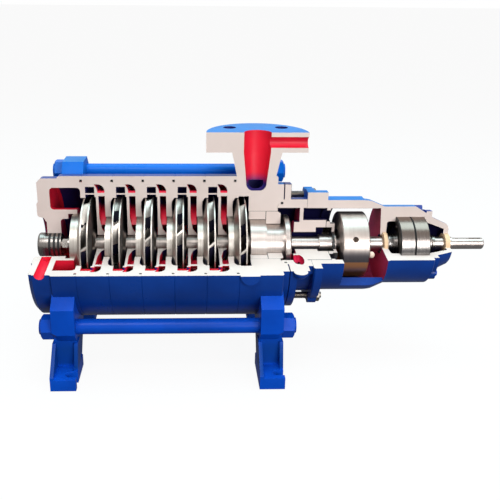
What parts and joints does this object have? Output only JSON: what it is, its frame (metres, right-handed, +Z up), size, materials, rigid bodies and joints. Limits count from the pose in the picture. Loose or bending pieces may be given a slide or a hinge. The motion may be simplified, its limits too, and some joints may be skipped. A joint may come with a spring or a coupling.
{
  "type": "horizontal multistage centrifugal pump, cut-away",
  "caption": "Horizontal ring-section centrifugal pump, cut open from above on one side to show its impellers, diffusers, balance drum, shaft seal chamber and bearings.",
  "frame": {"origin": "on the floor, midway between the feet's near and far sides, straight below the axis of the discharge nozzle", "axes": "+X along the shaft towards the driving end, +Y level towards the suction flange, +Z up"},
  "size_m": [0.8014, 0.368, 0.3845],
  "materials": {
    "painted_castings": "gloss enamel, cream on the cut faces and red in the passages",
    "painted_fasteners": "gloss enamel",
    "guide_castings": "red enamel, cream on the cut faces",
    "impeller_castings": "turned shrouds with a satin sheen",
    "shaft_steel": "bright turned",
    "bearing_steel": "ground",
    "grey_bush_metal": "turned",
    "seal_carbon": "dull",
    "black_rubber": "dull",
    "cream_lip_rings": "satin"
  },
  "bodies": {
    "pump_casing": {"bearing_bracket": "painted_castings", "bearing_bush": "grey_bush_metal", "bearing_outer_rings": "bearing_steel", "bracket_nuts": "shaft_steel", "bracket_studs": "shaft_steel", "bush_rings": "black_rubber", "casing_o_rings": "black_rubber", "cover_screws": "painted_fasteners", "diffuser_1": "guide_castings", "diffuser_2": "guide_castings", "diffuser_3": "guide_castings", "diffuser_4": "guide_castings", "diffuser_5": "guide_castings", "diffuser_6": "guide_castings", "discharge_casing": "painted_castings", "end_cover": "painted_castings", "housing_o_ring": "black_rubber", "lip_rings": "cream_lip_rings", "seal_cover": "grey_bush_metal", "seal_housing": "painted_castings", "seal_seat": "seal_carbon", "stage_casing_1": "painted_castings", "stage_casing_2": "painted_castings", "stage_casing_3": "painted_castings", "stage_casing_4": "painted_castings", "stage_casing_5": "painted_castings", "suction_casing": "painted_castings", "throttle_bush": "grey_bush_metal", "throttle_ring": "grey_bush_metal", "tie_rod_nuts": "painted_fasteners", "tie_rods": "painted_fasteners", "wear_rings": "grey_bush_metal"},
    "rotor": {"balance_drum": "shaft_steel", "bearing_inner_rings": "bearing_steel", "bearing_lock_nut": "bearing_steel", "bearing_spacer": "bearing_steel", "collar_knob": "cream_lip_rings", "collar_ring": "shaft_steel", "distance_sleeves": "shaft_steel", "impeller_1": "impeller_castings", "impeller_2": "impeller_castings", "impeller_3": "impeller_castings", "impeller_4": "impeller_castings", "impeller_5": "impeller_castings", "impeller_6": "impeller_castings", "impeller_nut": "shaft_steel", "seal_rotor": "shaft_steel", "shaft": "shaft_steel", "shaft_sleeve": "shaft_steel"},
    "ball_set": {"bearing_balls": "bearing_steel"}
  },
  "joints": [
    {"name": "rotor_spin", "type": "hinge", "parent": "pump_casing", "child": "rotor", "pos_m": [0, 0, 0.19], "axis": [1, 0, 0], "continuous": true},
    {"name": "ball_orbit", "type": "hinge", "parent": "pump_casing", "child": "ball_set", "pos_m": [0.268, 0, 0.19], "axis": [1, 0, 0], "continuous": true}
  ],
  "couplings": [
    {"joint": "ball_orbit", "follows": "rotor_spin", "ratio": 0.4}
  ]
}
